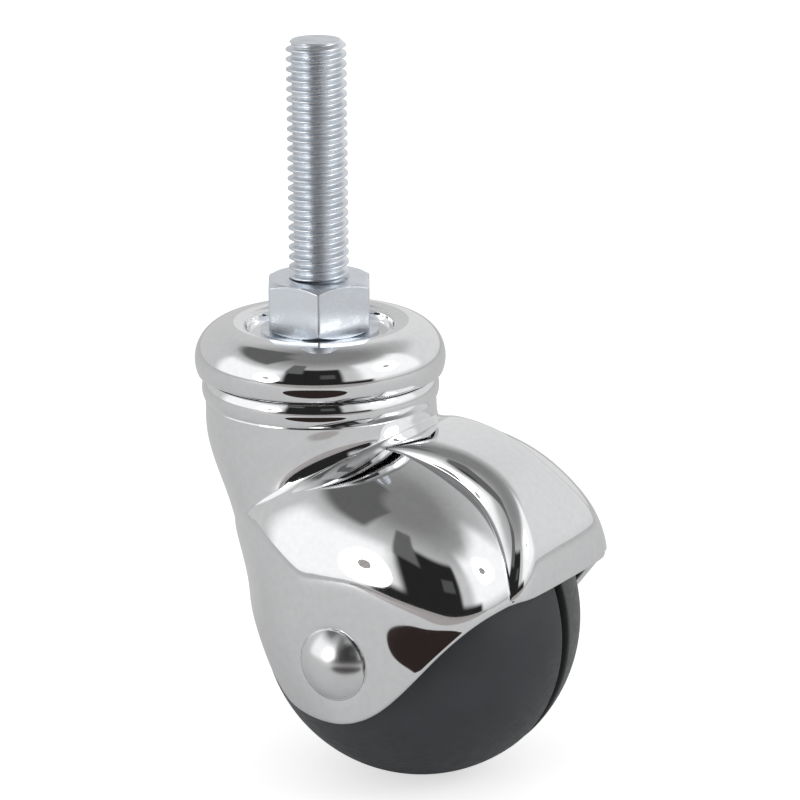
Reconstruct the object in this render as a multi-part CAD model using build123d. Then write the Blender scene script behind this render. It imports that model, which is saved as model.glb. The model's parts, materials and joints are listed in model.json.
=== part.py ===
from build123d import *
import os
from math import asin, atan2, cos, pi, radians, sin, sqrt, tan

# A hooded ball castor on a threaded stem. The origin is on the stem's axis in the top
# face of the hex nut, +Z runs up the stem, and the ball trails towards +X. Millimetres.

# Stem and nut
stem_radius = 4.7625
stem_length = 38.1
stem_chamfer = 0.9
kingpin_radius = 4.25
kingpin_clearance = 0.05
nut_across_flats = 15.875
nut_turn = 1.4
nut_height = 8.4
nut_chamfer_angle = 30
nut_face_inset = 0.15
washer_thickness = 1.2
washer_radius = 9.4

# Collar over the upper ball race
sheet = 1.2
collar_overhang = 1.6
collar_bead_radius = 5.8
collar_rise = 2.4
collar_skirt = 2.2
collar_mid_angle = 0.6
recess_slope = 2.8
lip_width = 1.06
lip_drop = 0.35
lip_bulge = 0.1

# Swivel bearing
upper_ball_radius = 1.75
lower_ball_radius = 1.6
ball_spacing = 1.2
ball_clearance = 0.12
race_depth = 0.5
race_plate = 2.0
race_lip = 2.0
track_inset = 2.85
track_step = 4.3
track_shoulder = 2.9
cup_inner_width = 2.6
cup_outer_width = 2.3
cone_outer_width = 2.5
cone_chamfer = 1.4
plate_slope = 1.0
plate_slope_offset = 0.7
plate_thinning = 0.4
plate_fit = 0.02
lower_race_thickness = 2.6
end_washer_thickness = 1.2
end_washer_radius = 8.4
peened_head_radius = 6.9
peened_head_height = 1.8

# Neck of the hood
neck_radius = 18.4
bead_rise = 0.55
bead_height = 3.9
bead_chamfer = 0.6
swivel_gap = 0.6
neck_front_height = 5.6
neck_rear_height = 23.3
neck_wall = 1.95
throat_ledge = 2.05
throat_step = 0.2
throat_clearance = 3.5
seal_inset = 0.2
seal_width = 1.1
seal_height = 1.5

# Ball wheel, in two shells on a core
ball_radius = 25.4
trail = 18.5
shell_wall = 3.2
groove_width = 2.4
groove_depth = 1.9
groove_offset = 2.0
side_opening_radius = 8.6
hub_radius = 6.6
hub_joint_depth = 1.0
spigot_fit = 0.1
spigot_depth = 3.6
locating_rim = 2.0
locating_rim_width = 8.0

# Axle
axle_radius = 3.0
axle_clearance = 0.05
bush_wall = 1.2
bush_length = 12.0
bush_flange_radius = 5.6
bush_flange_thickness = 0.8
thrust_washer_thickness = 1.0
thrust_washer_radius = 6.2
running_gap = 0.2
rivet_head_radius = 5.8
rivet_head_height = 2.7
rivet_seat_depth = 0.45
rivet_seat_clearance = 0.2
far_washer_radius = 5.5
far_washer_thickness = 0.9
far_head_radius = 4.7
far_head_height = 2.1

# Hood
wheel_gap = 0.5
hood_wall = 1.2
boss_length = 3.15
hood_tilt = 30.0
hood_inset = 1.6
crown_wall = 0.9
corner_wall = 3.0
crown_rise = 1.185
neck_crease = 0.3
crease_width = 3.2
boss_radius = 6.5

# A cut runs past the face it goes through by this much, and a joined piece goes this far in
cut_past = 1.0
joined_in = 0.5

# Points on half of one outline, and the parts of the way round that the bonnet and the crease
# take up
bonnet_steps = 4
crease_steps = 5
rest_steps = 20
bonnet_part = 0.10
crease_part = 0.06

# Where the outline turns from its round rear to its squarer front, by the cosine of the angle
# from straight ahead, and the least cosine that the bonnet's rise is divided by
corner_start = 0.25
corner_gain = 0.95
bonnet_limit = 0.35

# Radii across the bearing, each from the neck of the hood inwards
bead_radius = neck_radius + bead_rise
collar_radius = neck_radius + collar_overhang
bearing_bore_radius = neck_radius - neck_wall
throat_radius = bearing_bore_radius - throat_ledge
seal_inner_radius = bearing_bore_radius + seal_inset
upper_pitch_radius = bearing_bore_radius - track_inset
lower_pitch_radius = upper_pitch_radius - track_step
swivel_bore_radius = lower_pitch_radius - track_shoulder
bead_centre_radius = collar_radius - collar_bead_radius
recess_radius = bead_centre_radius - recess_slope
kingpin_bore_radius = kingpin_radius + kingpin_clearance
upper_ball_count = int(pi / asin(ball_spacing * upper_ball_radius / upper_pitch_radius))
lower_ball_count = int(pi / asin(ball_spacing * lower_ball_radius / lower_pitch_radius))

# Heights down the stem, each from the piece above it
nut_bottom = -nut_height
floor_top = nut_bottom - washer_thickness
floor_bottom = floor_top - sheet
upper_ball_z = floor_bottom - race_plate / 2 - upper_ball_radius - ball_clearance
plate_top = upper_ball_z - upper_ball_radius - ball_clearance + race_depth
plate_bottom = plate_top - race_plate
cup_bottom = plate_bottom - race_lip
lower_ball_z = cup_bottom + race_depth - lower_ball_radius - ball_clearance
cone_top = lower_ball_z - lower_ball_radius - ball_clearance + race_depth
cone_bottom = cone_top - lower_race_thickness
end_washer_bottom = cone_bottom - end_washer_thickness
stem_end = end_washer_bottom - peened_head_height

# The collar's bead is an arc about this centre, and its skirt ends just over the neck
bead_centre_z = floor_top + collar_rise - collar_bead_radius
collar_bottom = bead_centre_z - collar_skirt
neck_top = collar_bottom - swivel_gap

# Where the ball sits, the least outer radius of the hood round it, and the line-up on the axle
hood_radius = ball_radius + wheel_gap + hood_wall
ball_z = neck_top - neck_front_height - crown_rise * hood_radius
cheek_y = hood_radius
rivet_seat_y = cheek_y - rivet_seat_depth
boss_face = rivet_seat_y - boss_length
hub_length = 2 * (boss_face - thrust_washer_thickness - running_gap - bush_flange_thickness)
axle_bore_radius = axle_radius + axle_clearance
hub_bore_radius = axle_bore_radius + bush_wall

# Rows of the hood's neck: share of the way down, rear radius, half width, both in neck
# radii, and how far back the widest place lies
neck_rows = [
    (0.06, 1.000, 1.000, 0.500),
    (0.22, 1.000, 1.000, 0.500),
    (0.42, 0.985, 1.005, 0.495),
    (0.63, 0.895, 1.010, 0.480),
    (0.84, 0.765, 1.010, 0.460),
    (1.00, 0.680, 1.020, 0.460),
]

# Rows of the hood's body, on planes tilted up to the front, in hood radii from the ball's
# centre: height of the plane, reach to the rear, reach to the front, widest place, half
# width, squareness of the front, rise of the bonnet and its half width
body_rows = [
    (0.972, -0.737, 0.686, -0.082, 0.734, 2.20, 0.048, 0.314),
    (0.908, -0.747, 0.777, -0.031, 0.790, 2.40, 0.096, 0.295),
    (0.770, -0.760, 0.929, 0.051, 0.878, 2.70, 0.140, 0.277),
    (0.595, -0.805, 1.056, 0.107, 0.948, 3.00, 0.155, 0.266),
    (0.400, -0.901, 1.137, 0.118, 0.989, 3.20, 0.148, 0.295),
    (0.180, -0.975, 1.166, 0.096, 1.003, 3.40, 0.118, 0.387),
    (-0.010, -0.997, 1.133, 0.068, 1.003, 3.40, 0.081, 0.461),
    (-0.180, -0.980, 1.053, 0.035, 0.996, 3.40, 0.059, 0.480),
    (-0.400, -0.925, 0.905, -0.006, 0.974, 3.40, 0.038, 0.480),
]

# Lower edge of the hood seen from the side, in hood radii from the ball's centre
rim_points = [
    (1.30, 0.395), (1.05, 0.395), (0.93, 0.385), (0.815, 0.305), (0.670, 0.155), (0.540, 0.005),
    (0.384, -0.162), (0.214, -0.295), (0.026, -0.366), (-0.170, -0.382), (-0.350, -0.358),
    (-0.455, -0.290), (-0.555, -0.165), (-0.690, 0.030), (-0.860, 0.165), (-1.05, 0.215),
    (-1.30, 0.225),
]


def polygon(points):
    """Flat face in the XZ plane through (radius, height) pairs."""
    return make_face(Polyline([(r, 0, z) for r, z in points], close=True))


def turned(points):
    """Solid turned about the Z axis from (radius, height) pairs."""
    return revolve(polygon(points), Axis.Z)


def ring(inner, outer, bottom, top):
    return turned([(inner, bottom), (outer, bottom), (outer, top), (inner, top)])


def ball_track(pitch, radius, z):
    """Ring with a round section, which cuts the track that a circle of balls runs in."""
    return Pos(0, 0, z) * Torus(pitch, radius)


def ball_circle(pitch, radius, z, count):
    """Full circle of separate bearing balls."""
    return [Pos(spot.position) * Sphere(radius) for spot in Pos(0, 0, z) * PolarLocations(pitch, count)]


def on_axle(solid):
    """Carries a solid turned about Z to the axle, with its +Z towards the near cheek, -Y."""
    return Pos(trail, 0, ball_z) * Rot(90, 0, 0) * solid


def mirrored_on_axle(solid):
    """The same for the far cheek, +Y."""
    return Pos(trail, 0, ball_z) * Rot(-90, 0, 0) * solid


def domed_head(radius, height, seat):
    """Low domed head on its flat underside at the height of the seat."""
    sphere_radius = (radius ** 2 + height ** 2) / (2 * height)
    ball = Pos(0, 0, seat + height - sphere_radius) * Sphere(sphere_radius)
    return ball & Pos(0, 0, seat) * Cylinder(radius, height, align=(Align.CENTER, Align.CENTER, Align.MIN))


def threaded_stem():
    """Stem and kingpin in one: the thread's blank, the thinner kingpin from the nut down, and
    the peened head under the races."""
    seat = kingpin_radius - stem_radius
    shank = turned([
        (0, stem_end + peened_head_height / 2),
        (kingpin_radius, stem_end + peened_head_height / 2),
        (kingpin_radius, seat),
        (stem_radius, 0),
        (stem_radius, stem_length - stem_chamfer),
        (stem_radius - stem_chamfer, stem_length),
        (0, stem_length),
    ])
    head = Rot(180, 0, 0) * domed_head(peened_head_radius, peened_head_height, -end_washer_bottom)
    return shank + head


def hex_nut():
    """Hexagon with its corners turned off to a cone at both ends, and a countersink on top that
    the stem's shoulder seats in."""
    corner = nut_across_flats / sqrt(3)
    face = nut_across_flats / 2 - nut_face_inset
    drop = (corner - face) * tan(radians(nut_chamfer_angle))
    seat = kingpin_radius - stem_radius
    blank = extrude(RegularPolygon(corner, 6, rotation=nut_turn), -nut_height)
    envelope = turned([
        (kingpin_bore_radius, seat),
        (stem_radius + kingpin_clearance, 0),
        (face, 0),
        (corner, -drop),
        (corner, nut_bottom + drop),
        (face, nut_bottom),
        (kingpin_bore_radius, nut_bottom),
    ])
    return blank & envelope


def collar():
    """Pressed collar: flat floor, recess round the nut, and a bead that turns down to a skirt."""
    inner_bead = collar_bead_radius - sheet
    crown = (bead_centre_radius, bead_centre_z + collar_bead_radius)
    lip = (bead_centre_radius - lip_width, crown[1] - lip_drop)

    def on_bead(radius, angle):
        return (bead_centre_radius + radius * cos(angle), bead_centre_z + radius * sin(angle))

    def point(pair):
        return (pair[0], 0, pair[1])

    outer_end = on_bead(collar_bead_radius, -collar_skirt / collar_bead_radius)
    inner_end = (outer_end[0] - sheet, outer_end[1])
    under_crown = (bead_centre_radius, bead_centre_z + inner_bead)
    lines = [
        Line(point((kingpin_bore_radius, floor_top)), point((recess_radius, floor_top))),
        Line(point((recess_radius, floor_top)), point(lip)),
        ThreePointArc(point(lip), point(((lip[0] + crown[0]) / 2, crown[1] - lip_bulge)), point(crown)),
        ThreePointArc(point(crown), point(on_bead(collar_bead_radius, collar_mid_angle)), point(outer_end)),
        Line(point(outer_end), point(inner_end)),
        ThreePointArc(point(inner_end), point(on_bead(inner_bead, collar_mid_angle)), point(under_crown)),
        Line(point(under_crown), point((recess_radius + sheet, floor_bottom))),
        Line(point((recess_radius + sheet, floor_bottom)), point((kingpin_bore_radius, floor_bottom))),
        Line(point((kingpin_bore_radius, floor_bottom)), point((kingpin_bore_radius, floor_top))),
    ]
    return revolve(make_face(Wire(lines)), Axis.Z)


def neck_section(share, rear, half_width, widest, wall=0.0, sink=0.0):
    """One row of the neck: its rear and front points, then its widths and bonnet as outline
    wants them. A wall moves the row inwards, and a sink lowers its front."""
    rear_point = (wall - rear * neck_radius, neck_top - share * neck_rear_height)
    front_point = (neck_radius - wall, neck_top - share * neck_front_height - sink)
    return rear_point, front_point, widest, half_width * neck_radius - wall, 2.0, 0.0, neck_crease * hood_radius


def body_section(height, rear, front, widest, half_width, squareness, bonnet, crease, wall=0.0, drop=0.0):
    """The same for one row of the body, on a tilted plane over the ball's centre. A wall moves
    it inwards, and a drop lowers it, which leaves the crown thick."""
    tilt = radians(hood_tilt)
    level = height - drop / hood_radius

    def place(reach):
        x = trail + hood_radius * (reach * cos(tilt) - level * sin(tilt))
        z = ball_z + hood_radius * (reach * sin(tilt) + level * cos(tilt))
        return (x, z)

    rear = rear + wall / hood_radius
    front = front - wall / hood_radius
    share = (widest - rear) / (front - rear)
    return (
        place(rear),
        place(front),
        share,
        half_width * hood_radius - wall,
        squareness,
        bonnet * hood_radius,
        crease * hood_radius - wall / 2,
    )


def outline(section):
    """Closed outline of one row: round behind, squarer in front, with the bonnet raised
    between two creases. The points keep their places beside the creases in every row."""
    rear, front, share, half_width, squareness, bonnet, crease = section
    length = sqrt((front[0] - rear[0]) ** 2 + (front[1] - rear[1]) ** 2)
    along = ((front[0] - rear[0]) / length, (front[1] - rear[1]) / length)
    centre = (rear[0] + along[0] * share * length, rear[1] + along[1] * share * length)
    front_reach = (1 - share) * length - bonnet
    rear_reach = share * length
    foot = crease + crease_width / 2

    def turn_at(y):
        """Angle from straight ahead at which the outline is this far from the middle."""
        return atan2(y, front_reach * (1 - (y / half_width) ** squareness) ** (1 / squareness))

    def turn_of(part):
        """Angle for a part of the way round, from 0 in front to 1 behind."""
        if part <= bonnet_part:
            return turn_at((foot - crease_width) * part / bonnet_part)
        if part <= bonnet_part + crease_part:
            return turn_at(foot - crease_width * (1 - (part - bonnet_part) / crease_part))
        rest = (part - bonnet_part - crease_part) / (1 - bonnet_part - crease_part)
        return turn_at(foot) + (pi - turn_at(foot)) * rest

    def point_at(turn):
        c, s = cos(turn), sin(turn)
        power = 2 + (squareness - 2) * min(max(corner_start + corner_gain * c, 0), 1)
        reach = front_reach if c > 0 else rear_reach
        radius = (abs(c / reach) ** power + abs(s / half_width) ** power) ** (-1 / power)
        if c > 0:
            ramp = min(max((abs(radius * s) - foot + crease_width) / crease_width, 0), 1)
            radius += bonnet * (1 - ramp * ramp * (3 - 2 * ramp)) / max(c, bonnet_limit)
        return Vector(centre[0] + along[0] * radius * c, radius * s, centre[1] + along[1] * radius * c)

    parts = [bonnet_part * step / bonnet_steps for step in range(bonnet_steps)]
    parts += [bonnet_part + crease_part * step / crease_steps for step in range(crease_steps)]
    rest_start = bonnet_part + crease_part
    parts += [rest_start + (1 - rest_start) * step / rest_steps for step in range(rest_steps)]
    near_side = [(part / 2, point_at(turn_of(part))) for part in parts + [1.0]]
    far_side = [(1 - part, Vector(p.X, -p.Y, p.Z)) for part, p in reversed(near_side[1:-1])]
    places = [part for part, point in near_side + far_side] + [1.0]
    return Wire([Edge.make_spline([point for part, point in near_side + far_side], periodic=True, parameters=places)])


def hood_loft(sections):
    return Solid.make_loft([outline(section) for section in sections])


def below_rim():
    """Everything under the hood's lower edge, right through from cheek to cheek."""
    points = [(trail + x * hood_radius, 0, ball_z + z * hood_radius) for x, z in rim_points]
    edge = Spline(points)
    deep = ball_z - 3 * hood_radius
    under = Polyline([points[-1], (points[-1][0], 0, deep), (points[0][0], 0, deep), points[0]])
    return extrude(make_face(Wire([edge] + list(under.edges()))), 2 * hood_radius, both=True)


def hood():
    """Cast hood: neck with its bead, two cheeks over the ball, and the bonnet between them."""
    outer = hood_loft([neck_section(*row) for row in neck_rows] + [body_section(*row) for row in body_rows])
    neck_room = neck_section(*neck_rows[3], neck_radius - throat_radius + throat_step, corner_wall)
    cavity = hood_loft([neck_room] + [body_section(*row, hood_inset, crown_wall) for row in body_rows])
    ball_room = Pos(trail, 0, ball_z) * Sphere(ball_radius + wheel_gap)
    shell = outer - below_rim() - cavity - ball_room
    shell += turned([
        (0, neck_top - bead_height),
        (neck_radius - bead_chamfer, neck_top - bead_height),
        (bead_radius, neck_top - bead_height + bead_chamfer),
        (bead_radius, neck_top - bead_chamfer),
        ((neck_radius + bead_radius) / 2, neck_top),
        (0, neck_top),
    ])
    shell -= ring(0, bearing_bore_radius, plate_bottom, neck_top + cut_past)
    shell -= ring(0, throat_radius, stem_end - throat_clearance, neck_top + cut_past)
    for carry in (on_axle, mirrored_on_axle):
        shell += carry(ring(0, boss_radius, boss_face, rivet_seat_y))
        shell -= carry(ring(0, rivet_head_radius + rivet_seat_clearance, rivet_seat_y, cheek_y + cut_past))
        shell -= carry(ring(0, axle_bore_radius, boss_face - cut_past, cheek_y + cut_past))
    return shell


def upper_cup():
    """Hardened ring under the collar's floor, with the track over the upper balls."""
    inner = upper_pitch_radius - cup_inner_width
    outer = upper_pitch_radius + cup_outer_width
    blank = ring(inner, outer, upper_ball_z + race_depth, floor_bottom)
    return blank - ball_track(upper_pitch_radius, upper_ball_radius + ball_clearance, upper_ball_z)


def swivel_plate():
    """Pressed plate in the neck: upper track on its rim, lower track under its sunk middle."""
    middle = (upper_pitch_radius + lower_pitch_radius) / 2
    top = upper_ball_z - race_depth
    sunk_top = cup_bottom + race_plate + plate_thinning
    rim = bearing_bore_radius - plate_fit
    plate = turned([
        (swivel_bore_radius, sunk_top),
        (middle - plate_slope_offset - plate_slope / 2, sunk_top),
        (middle - plate_slope_offset + plate_slope / 2, top),
        (rim, top),
        (rim, plate_bottom),
        (middle + plate_slope_offset + plate_slope / 2, plate_bottom),
        (middle + plate_slope_offset - plate_slope / 2, cup_bottom),
        (swivel_bore_radius, cup_bottom),
    ])
    plate -= ball_track(upper_pitch_radius, upper_ball_radius + ball_clearance, upper_ball_z)
    return plate - ball_track(lower_pitch_radius, lower_ball_radius + ball_clearance, lower_ball_z)


def lower_cone():
    """Race ring held on the kingpin under the lower balls."""
    outer = lower_pitch_radius + cone_outer_width
    top = lower_ball_z - race_depth
    blank = turned([
        (kingpin_bore_radius, cone_bottom),
        (outer - cone_chamfer, cone_bottom),
        (outer, cone_bottom + cone_chamfer),
        (outer, top),
        (kingpin_bore_radius, top),
    ])
    return blank - ball_track(lower_pitch_radius, lower_ball_radius + ball_clearance, lower_ball_z)


def wheel_shell(groove_face):
    """One half of the ball, from the groove to the opening in its side, turned about Z."""
    shell = Sphere(ball_radius) - Sphere(ball_radius - shell_wall)
    half = ring(0, 2 * ball_radius, groove_face, 2 * ball_radius)
    return (shell & half) - ring(0, side_opening_radius, -ball_radius, 2 * ball_radius)


def wheel_core():
    """Hub tube, web that fills the bottom of the groove, rim inside both shells, and a
    spigot in each side opening."""
    half = hub_length / 2
    joint = hub_radius - hub_joint_depth
    groove = -groove_offset
    inside = ball_radius - shell_wall
    rim_reach = groove_offset + locating_rim_width / 2
    rim_radius = sqrt(inside ** 2 - rim_reach ** 2) - spigot_fit
    core = ring(hub_bore_radius, hub_radius, -half, half)
    core += ring(joint, ball_radius - groove_depth, groove - groove_width / 2, groove + groove_width / 2)
    core += ring(
        rim_radius - locating_rim, rim_radius, groove - locating_rim_width / 2, groove + locating_rim_width / 2
    )
    core += ring(joint, side_opening_radius - spigot_fit, half - spigot_depth, half)
    core += ring(joint, side_opening_radius - spigot_fit, -half, -half + spigot_depth)
    return core


def bush():
    """Flanged plain bush, pressed into the end of the hub."""
    half = hub_length / 2
    sleeve = ring(axle_bore_radius, hub_bore_radius, half - bush_length, half)
    flange = ring(axle_bore_radius, bush_flange_radius, half, half + bush_flange_thickness)
    return sleeve + flange


def thrust_washer():
    bottom = boss_face - thrust_washer_thickness
    return ring(axle_bore_radius, thrust_washer_radius, bottom, boss_face)


def axle_rivet():
    """Axle and near head in one piece, peened over a washer on the far cheek."""
    far_seat = rivet_seat_y + far_washer_thickness
    shaft = ring(0, axle_radius, -far_seat - joined_in, rivet_seat_y + joined_in)
    near_head = domed_head(rivet_head_radius, rivet_head_height, rivet_seat_y)
    far_head = Rot(180, 0, 0) * domed_head(far_head_radius, far_head_height, far_seat)
    return shaft + near_head + far_head


def far_washer():
    return ring(axle_bore_radius, far_washer_radius, rivet_seat_y, rivet_seat_y + far_washer_thickness)


def write(name, solids):
    """One STEP file for a piece, or for a group of like pieces."""
    group = solids if isinstance(solids, list) else solids.solids()
    shape = group[0] if len(group) == 1 else Compound(children=group)
    export_step(shape, f"parts/{name}.step")


def main():
    os.makedirs("parts", exist_ok=True)
    write("threaded_stem", threaded_stem())
    write("hex_nut", hex_nut())
    write("nut_washer", ring(kingpin_bore_radius, washer_radius, floor_top, nut_bottom))
    write("collar_ring", collar())
    write("upper_race_cup", upper_cup())
    write("upper_bearing_balls", ball_circle(upper_pitch_radius, upper_ball_radius, upper_ball_z, upper_ball_count))
    write("swivel_plate", swivel_plate())
    write("lower_bearing_balls", ball_circle(lower_pitch_radius, lower_ball_radius, lower_ball_z, lower_ball_count))
    write("lower_race_cone", lower_cone())
    write("end_washer", ring(kingpin_bore_radius, end_washer_radius, end_washer_bottom, cone_bottom))
    write("dust_seal", ring(seal_inner_radius, seal_inner_radius + seal_width, neck_top, neck_top + seal_height))
    write("hood", hood())
    write("wheel_shell_near", on_axle(wheel_shell(-groove_offset + groove_width / 2)))
    write("wheel_shell_far", mirrored_on_axle(wheel_shell(groove_offset + groove_width / 2)))
    write("wheel_core", on_axle(wheel_core()))
    write("hub_bush_near", on_axle(bush()))
    write("hub_bush_far", mirrored_on_axle(bush()))
    write("thrust_washer_near", on_axle(thrust_washer()))
    write("thrust_washer_far", mirrored_on_axle(thrust_washer()))
    write("axle_rivet", on_axle(axle_rivet()))
    write("rivet_washer_far", mirrored_on_axle(far_washer()))


main()
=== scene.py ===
import json
import bpy
import numpy as np
from bpy.props import FloatProperty, FloatVectorProperty, IntProperty, PointerProperty
from mathutils import Matrix, Vector


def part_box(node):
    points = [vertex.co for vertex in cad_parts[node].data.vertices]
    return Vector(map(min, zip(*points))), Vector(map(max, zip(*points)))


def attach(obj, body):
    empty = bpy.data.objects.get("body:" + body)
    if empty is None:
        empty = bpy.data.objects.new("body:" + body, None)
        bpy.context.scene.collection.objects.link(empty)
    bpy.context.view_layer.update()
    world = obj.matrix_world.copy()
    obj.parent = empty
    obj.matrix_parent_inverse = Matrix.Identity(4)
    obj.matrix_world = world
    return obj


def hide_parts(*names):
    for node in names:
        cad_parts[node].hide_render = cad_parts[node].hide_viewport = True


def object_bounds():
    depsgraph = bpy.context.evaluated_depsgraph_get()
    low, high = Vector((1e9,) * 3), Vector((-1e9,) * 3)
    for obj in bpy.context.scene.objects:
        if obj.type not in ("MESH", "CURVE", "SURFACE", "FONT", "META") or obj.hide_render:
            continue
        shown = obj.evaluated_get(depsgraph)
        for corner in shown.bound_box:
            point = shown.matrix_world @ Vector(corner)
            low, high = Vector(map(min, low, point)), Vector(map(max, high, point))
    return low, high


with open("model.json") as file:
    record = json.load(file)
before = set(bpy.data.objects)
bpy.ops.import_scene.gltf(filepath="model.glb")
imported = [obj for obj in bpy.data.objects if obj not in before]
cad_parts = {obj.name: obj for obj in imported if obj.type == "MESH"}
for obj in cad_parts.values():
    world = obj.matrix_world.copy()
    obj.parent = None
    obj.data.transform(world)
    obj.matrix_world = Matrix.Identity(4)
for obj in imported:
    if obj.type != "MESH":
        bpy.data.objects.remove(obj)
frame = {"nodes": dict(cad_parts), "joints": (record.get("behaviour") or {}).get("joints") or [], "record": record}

bl_info = {
    "name": "Hooded ball castor",
    "version": (1, 0, 0),
    "blender": (4, 5, 0),
    "location": "3D View > Sidebar > Castor",
    "description": "Builds the visible surfaces, finishes and stage of a hooded ball castor",
    "category": "Object",
}

# Sizes are in metres. The frame gives the places that the solids already hold.
CAD_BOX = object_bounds()
STEM_MOUNT = next(m for m in frame["record"]["mounts"] if m["name"] == "stem")
WHEEL_JOINT = next(j for j in frame["joints"] if j["name"] == "wheel_spin")
TRAIL = WHEEL_JOINT["pos_m"][0]
BALL_Z = WHEEL_JOINT["pos_m"][2]
STEM_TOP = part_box("threaded_stem")[1].z
STEM_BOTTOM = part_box("threaded_stem")[0].z
NUT_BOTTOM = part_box("hex_nut")[0].z
NECK_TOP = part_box("hood")[1].z
COLLAR_LOW, COLLAR_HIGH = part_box("collar_ring")
PLATE_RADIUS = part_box("swivel_plate")[1].x
WASHER_LOW, WASHER_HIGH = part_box("nut_washer")

# Rows of the hood's neck: share of the way down, rear radius, half width, both in neck
# radii, and how far back the widest place lies
NECK_ROWS = np.array([
    (0.00, 1.000, 1.000, 0.500),
    (0.22, 1.000, 1.000, 0.500),
    (0.42, 0.985, 1.005, 0.495),
    (0.63, 0.895, 1.010, 0.480),
    (0.84, 0.765, 1.010, 0.460),
    (1.00, 0.680, 1.020, 0.460),
])

# Rows of the hood's body, on planes tilted up to the front, in hood radii from the ball's
# centre: height of the plane, reach to the rear, reach to the front, widest place, half
# width, squareness of the front, rise of the bonnet and its half width
BODY_ROWS = np.array([
    (0.972, -0.737, 0.686, -0.082, 0.734, 2.20, 0.048, 0.314),
    (0.908, -0.747, 0.777, -0.031, 0.790, 2.40, 0.096, 0.295),
    (0.770, -0.760, 0.929, 0.051, 0.878, 2.70, 0.140, 0.277),
    (0.595, -0.805, 1.056, 0.107, 0.948, 3.00, 0.155, 0.266),
    (0.400, -0.901, 1.137, 0.118, 0.989, 3.20, 0.148, 0.295),
    (0.180, -0.975, 1.166, 0.096, 1.003, 3.40, 0.118, 0.387),
    (-0.010, -0.997, 1.133, 0.068, 1.003, 3.40, 0.081, 0.461),
    (-0.180, -0.980, 1.053, 0.035, 0.996, 3.40, 0.059, 0.480),
    (-0.400, -0.925, 0.905, -0.006, 0.974, 3.40, 0.038, 0.480),
])

# Lower edge of the hood seen from the side, in hood radii from the ball's centre
RIM_POINTS = np.array([
    (1.30, 0.395), (1.05, 0.395), (0.93, 0.385), (0.815, 0.305), (0.670, 0.155), (0.540, 0.005),
    (0.384, -0.162), (0.214, -0.295), (0.026, -0.366), (-0.170, -0.382), (-0.350, -0.358),
    (-0.455, -0.290), (-0.555, -0.165), (-0.690, 0.030), (-0.860, 0.165), (-1.05, 0.215),
    (-1.30, 0.225),
])

# In every row, the parts of the way from the middle of the front to the middle of the back
# that half the bonnet and then the crease take up
BONNET_SHARE = 0.10
CREASE_SHARE = 0.06

# How soon the bonnet levels off beside the crease, the least cosine that its rise is divided
# by, and the half width that the neck's rows give it, in hood radii
FLANK_POWER = 2.2
BONNET_SLANT = 0.35
NECK_BONNET = 0.3

# The front's squareness fades to the round rear as start + gain times the cosine of the turn
SQUARE_START = 0.25
SQUARE_GAIN = 0.95

# The round lamps: name, azimuth from the camera's and elevation, in degrees
LAMPS = (("lamp_left", -50, 12), ("lamp_right", 70, 32))

# What mirrors see of the tent: its strength at the sides and overhead, then patches as
# azimuth, half width, elevation, half height and soft edge in degrees, and strength
TENT_SIDE = 0.62
TENT_TOP = 0.24
PATCHES = (
    (-72, 34, 16, 20, 7, 1.10),
    (74, 34, 28, 24, 7, 1.10),
    (150, 42, 18, 20, 8, 0.78),
    (0, 50, -6, 13, 3, 0.020),
    (-6, 28, 14, 32, 3, 0.020),
    (-26, 9, 46, 13, 2, 0.14),
    (-105, 42, 60, 14, 4, 0.13),
    (8, 7, 24, 6, 1.5, 0.09),
)

# Round cards on the floor, for mirrors only: name, azimuth of the middle from the camera's
# in degrees, its distance from the ball, and radius. The first is dark.
FLOOR_CARDS = (("floor_near", -10, 0.160, 0.080), ("floor_far", 0, 2.200, 1.840))


def length(name, description, default):
    """A distance in metres, as a user edits it."""
    return FloatProperty(
        name=name, description=description, default=default, min=0.0, precision=5,
        unit="LENGTH", subtype="DISTANCE",
    )


def colour(name, description, default):
    """A plain colour, each part from 0 to 1."""
    return FloatVectorProperty(
        name=name, description=description, default=default, size=3, min=0.0, max=1.0, subtype="COLOR"
    )


def share(name, description, default):
    """A number from 0 to 1."""
    return FloatProperty(
        name=name, description=description, default=default, min=0.0, max=1.0, subtype="FACTOR"
    )


def angle_of(name, description, degrees):
    """An angle, given here in degrees."""
    return FloatProperty(name=name, description=description, default=np.radians(degrees), subtype="ANGLE")


def amount(name, description, default):
    """A plain number that isn't negative."""
    return FloatProperty(name=name, description=description, default=default, min=0.0)


def shift(name, description, default):
    """A distance that may be negative."""
    return FloatProperty(name=name, description=description, default=default, precision=5, unit="LENGTH")


class StemSizes(bpy.types.PropertyGroup):
    radius: length("Radius", "Outside radius of the thread", STEM_MOUNT["dims"]["r_mm"] / 1000)
    pitch: length("Pitch", "Distance from one thread to the next", 0.0254 / 16)
    thread_depth: length("Thread depth", "From crest to root", 0.00088)
    chamfer: length("Chamfer", "Chamfer at the tip", 0.0009)
    kingpin: length("Kingpin", "Radius from the nut down", 0.00425)
    fit: length("Fit", "Clearance of the bores round the kingpin", 0.00005)
    head_radius: length("Head radius", "Peened head under the bearing", 0.0069)
    head_height: length("Head height", "Height of the peened head", 0.0018)
    across_flats: length("Across flats", "Width of the hexagon nut", 0.015875)
    crest: share("Crest", "Flat crest of the thread, as a part of the half pitch", 0.10)
    flank: share("Flank", "Sloping flank of the thread, as a part of the half pitch", 0.72)
    turn: angle_of("Turn", "Turn of the nut", 1.4)


class CollarSizes(bpy.types.PropertyGroup):
    sheet: length("Sheet", "Thickness of the pressed sheet", 0.0012)
    bead: length("Bead", "Radius of the round bead", 0.0058)
    recess: length("Recess", "Radius of the recess round the nut", 0.0114)


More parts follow.
